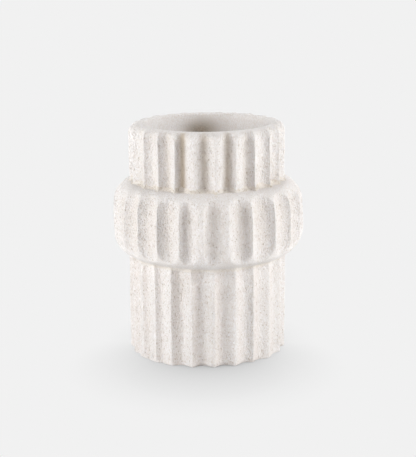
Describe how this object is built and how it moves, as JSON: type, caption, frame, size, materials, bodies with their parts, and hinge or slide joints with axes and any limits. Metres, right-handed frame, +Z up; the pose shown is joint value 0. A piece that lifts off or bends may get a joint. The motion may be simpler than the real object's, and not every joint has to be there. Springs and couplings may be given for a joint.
{
  "type": "urn vase",
  "caption": "Fluted stoneware urn vase: a straight drum, a bulging belly ring and a straight rimmed collar, luted with slip on a base disc, for cut or dried flowers.",
  "frame": {"origin": "centre of the foot, on the table", "axes": "+Z up along the vase's axis, out of the mouth; +X through a ridge of the belly and a flute of the drum and collar"},
  "size_m": [0.1832, 0.1832, 0.22],
  "materials": {
    "stoneware": "matte",
    "slip": "matte",
    "glaze": "gloss"
  },
  "bodies": {
    "root": {"base_disc": "stoneware", "foot_seam": "slip", "lower_drum": "stoneware", "waist_seam": "slip", "belly_ring": "stoneware", "neck_seam": "slip", "collar": "stoneware", "inner_glaze": "glaze"}
  },
  "joints": []
}
